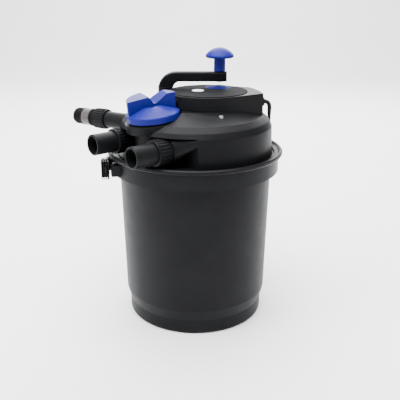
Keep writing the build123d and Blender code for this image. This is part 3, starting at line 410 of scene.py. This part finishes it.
# For each material slot of the record: colour, lighter colour, roughness, and what differs.
MATERIALS = {
    "black_shell": moulded("shell_black", (0.0040, 0.0042, 0.0047), (0.0062, 0.0064, 0.0070), 0.42),
    "black_trim": moulded(
        "trim_black", (0.0042, 0.0044, 0.0050), (0.0064, 0.0066, 0.0074), 0.36, grain=0.25),
    "black_disc": moulded(
        "disc_black", (0.0034, 0.0036, 0.0044), (0.0052, 0.0054, 0.0064), 0.70, grain=0.12,
        specular=0.03),
    "blue_plastic": polished(
        "royal_blue", (0.007, 0.008, 0.135), (0.009, 0.0105, 0.165), 0.38, coat=0.03,
        specular=0.09),
    "grey_plastic": moulded("inner_grey", (0.20, 0.21, 0.225), (0.27, 0.28, 0.295), 0.45),
    "white_lens": polished("lens_white", (0.82, 0.84, 0.88), (0.90, 0.91, 0.94), 0.14, coat=0.6),
    # for the foam, the lighter colour is the painted light on the struts
    "foam": open_foam("filter_foam", (0.035, 0.085, 0.24), (0.09, 0.17, 0.38)),
    "steel": brushed_metal("stainless", (0.58, 0.58, 0.60), 0.30),
    "seal_rubber": rubbery("seal_rubber", (0.008, 0.008, 0.008), (0.016, 0.0155, 0.015)),
    "cord_rubber": rubbery("lead_rubber", (0.0050, 0.0051, 0.0055), (0.0085, 0.0086, 0.0092)),
    "clear_tube": clear("sight_clear", (0.090, 0.074, 0.077), 0.30, 1.49, 0.40),
    "quartz": clear("quartz_clear", (0.93, 0.96, 0.99), 0.04, 1.46, 0.92),
    "lamp_ceramic": moulded(
        "lamp_ceramic", (0.74, 0.74, 0.71), (0.82, 0.82, 0.79), 0.5, grain=0.2, scuff=0.1),
}
# Nodes that look different from the rest of their slot.
OWN_MATERIAL = {
    "lamp_cap": polished(
        "cap_blue", (0.005, 0.007, 0.075), (0.006, 0.009, 0.095), 0.5, coat=0.0, specular=0.03),
    "lamp_tubes": clear("lamp_glass", (0.94, 0.95, 0.96), 0.22, 1.5, 0.35),
    "carousel_ring_gear": moulded("gear_grey", (0.30, 0.31, 0.32), (0.36, 0.37, 0.38), 0.42),
    "crank_pinion": moulded("pinion_white", (0.62, 0.62, 0.60), (0.70, 0.70, 0.68), 0.42),
}


EDGE_WIDTH = 0.0005             # of a moulded edge
SLOT_EDGE_WIDTH = {"steel": 0.00015, "quartz": 0.0, "clear_tube": 0.0003, "seal_rubber": 0.0002,
                   "foam": 0.0}
WELD_GAP = 0.000004
FLAT_ANGLE = math.radians(0.12)
EDGE_ANGLE = math.radians(14)


def dress_nodes():
    """Gives each CAD node its material, and softens its edges so that they catch the light."""
    slot_of = {part["node"]: part["material_slot"] for part in frame["record"]["subparts"]}
    for name, obj in NODES.items():
        slot = slot_of[name]
        obj.data.materials.clear()
        obj.data.materials.append(OWN_MATERIAL.get(name, MATERIALS[slot]))
        width = SLOT_EDGE_WIDTH.get(slot, EDGE_WIDTH)
        if width == 0.0 or obj.hide_render:
            continue
        weld = obj.modifiers.new("weld", "WELD")
        weld.merge_threshold = WELD_GAP
        flat = obj.modifiers.new("flat", "DECIMATE")
        flat.decimate_type = "DISSOLVE"
        flat.angle_limit = FLAT_ANGLE
        edge = obj.modifiers.new("edge", "BEVEL")
        edge.width = width
        edge.segments = 2
        edge.limit_method = "ANGLE"
        edge.angle_limit = EDGE_ANGLE
        edge.use_clamp_overlap = True
        edge.harden_normals = False
        normals = obj.modifiers.new("normals", "WEIGHTED_NORMAL")
        normals.keep_sharp = False
        normals.weight = 60


dress_nodes()
mains_lead.data.materials.append(MATERIALS["cord_rubber"])


# ---------------------------------------------------------------- foam rings
FOAM_RINGS = 5
FOAM_HOLE_R = 0.0626
FOAM_CORNER = 0.004
FOAM_SPACING = 0.0035           # between the mesh's points across the section
FOAM_STEPS = 220                # round the ring
FOAM_WAVES = 6                  # added up into the ripple of the surface
WAVE_ROUND, WAVE_UP = 3, 240    # how fast each next wave runs round the ring and up it
RIPPLE = 0.00012
PORE = 0.00018
PROUD = 0.0002                  # the most that the surface stands proud of the CAD ring
SUNK = 0.00035                  # the most that the top and underside sink in
FIRST_SEED = 40


def foam_section(outer, bottom, height):
    """Radius and height of points round the section of a foam ring, with its corners cut."""
    inner, corner = FOAM_HOLE_R, FOAM_CORNER
    outline = [
        (inner, corner), (inner, height - corner), (inner + corner, height),
        (outer - corner, height), (outer, height - corner), (outer, corner),
        (outer - corner, 0.0), (inner + corner, 0.0),
    ]
    section = []
    for (r0, z0), (r1, z1) in zip(outline, outline[1:] + outline[:1]):
        count = max(2, round(math.hypot(r1 - r0, z1 - z0) / FOAM_SPACING))
        for step in range(count):
            share = step / count
            section.append((r0 + (r1 - r0) * share, bottom + z0 + (z1 - z0) * share))
    return section


def make_foam(name, seed):
    """One foam ring with soft edges and an uneven, porous surface, as its own piece riding on the
    carousel.
    """
    low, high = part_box(name)
    outer = (high.x - low.x) / 2
    height = high.z - low.z
    section = foam_section(outer, low.z, height)
    middle = (FOAM_HOLE_R + outer) / 2
    rng = random.Random(seed)
    phases = [rng.uniform(0, 2 * math.pi) for _ in range(FOAM_WAVES)]
    work = bmesh.new()
    rings = []
    for step in range(FOAM_STEPS):
        angle = 2 * math.pi * step / FOAM_STEPS
        ring = []
        for radius, z in section:
            ripple = 0.0
            for wave, phase in enumerate(phases):
                turned = (wave + 2) * WAVE_ROUND * angle
                ripple += math.sin(turned + phase + z * WAVE_UP * (wave + 1))
            sag = RIPPLE * ripple * (1 if radius > middle else -1) + rng.uniform(-PORE, PORE)
            sag = min(sag, PROUD) if radius > middle else max(sag, -PROUD)
            lift = rng.uniform(-SUNK, 0.0)
            uneven_z = z + (lift if z > low.z + height / 2 else -lift)
            x, y = (radius + sag) * math.cos(angle), (radius + sag) * math.sin(angle)
            ring.append(work.verts.new((x, y, uneven_z)))
        rings.append(ring)
    for ring, following in zip(rings, rings[1:] + rings[:1]):
        for index in range(len(section)):
            other = (index + 1) % len(section)
            work.faces.new((ring[index], following[index], following[other], ring[other]))
    bmesh.ops.recalc_face_normals(work, faces=work.faces)
    piece = new_piece(name + "_open_cell", finished(work, name + "_open_cell"))
    smooth(piece, math.radians(80))
    piece.data.materials.append(MATERIALS["foam"])
    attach(piece, "carousel")
    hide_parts(name)


for number in range(FOAM_RINGS):
    make_foam(f"foam_ring_{number + 1}", FIRST_SEED + number)


# ---------------------------------------------------------------- floor and light
FLOOR_HALF = 7.0                # half its width
FLOOR_FRONT, FLOOR_BACK = -6.0, 3.0
BEND_R, BEND_STEPS = 2.0, 16
BACKDROP_TOP = 7.0


def make_floor():
    """Pale sweep: a floor that curves up into a backdrop."""
    material, tree, shader, place = start_material("studio_floor")
    pale = [(0.3, (0.90, 0.905, 0.915)), (0.7, (0.915, 0.92, 0.93))]
    tree.links.new(ramp(tree, noise(tree, place, 3.0, 2.0), pale), shader.inputs["Base Color"])
    shader.inputs["Roughness"].default_value = 0.9
    section = [(FLOOR_FRONT, 0.0), (FLOOR_BACK, 0.0)]
    for step in range(1, BEND_STEPS + 1):
        angle = math.pi / 2 * step / BEND_STEPS
        section.append((FLOOR_BACK + BEND_R * math.sin(angle), BEND_R * (1 - math.cos(angle))))
    section.append((FLOOR_BACK + BEND_R, BACKDROP_TOP))
    work = bmesh.new()
    rows = [[work.verts.new((side * FLOOR_HALF, y, z)) for side in (-1, 1)] for y, z in section]
    for row, following in zip(rows, rows[1:]):
        work.faces.new((row[0], row[1], following[1], following[0]))
    floor = new_piece("studio_floor", finished(work, "studio_floor"))
    smooth(floor, math.radians(60))
    floor.data.materials.append(material)


def area_light(name, place, target, size, power):
    """White rectangular light at a place, facing the target: metres and watts."""
    data = bpy.data.lights.new(name, "AREA")
    data.shape = "RECTANGLE"
    data.size, data.size_y = size
    data.energy = power
    light = bpy.data.objects.new(name, data)
    light.location = place
    aim = Vector(target) - Vector(place)
    light.rotation_euler = aim.to_track_quat("-Z", "Y").to_euler()
    bpy.context.scene.collection.objects.link(light)


def make_light():
    """Soft studio light: a large one overhead, weak sides, and two behind for the backdrop."""
    world = bpy.data.worlds.new("studio")
    world.use_nodes = True
    background = world.node_tree.nodes["Background"]
    background.inputs["Color"].default_value = (0.93, 0.95, 1.0, 1)
    background.inputs["Strength"].default_value = 0.27
    bpy.context.scene.world = world
    area_light("overhead", (-0.3, -0.45, 2.4), (0, 0, 0.2), (2.8, 2.6), 275)
    area_light("left", (-2.2, -1.0, 1.3), (0, 0, 0.25), (1.0, 2.0), 34)
    area_light("right", (2.3, -0.7, 1.2), (0, 0, 0.25), (0.9, 2.0), 9)
    area_light("backdrop", (0.0, 1.6, 3.6), (0, 4.6, 1.2), (4.0, 1.5), 440)
    area_light("behind", (0.3, 2.2, 1.8), (0, 0, 0.3), (2.6, 1.6), 90)


make_floor()
make_light()
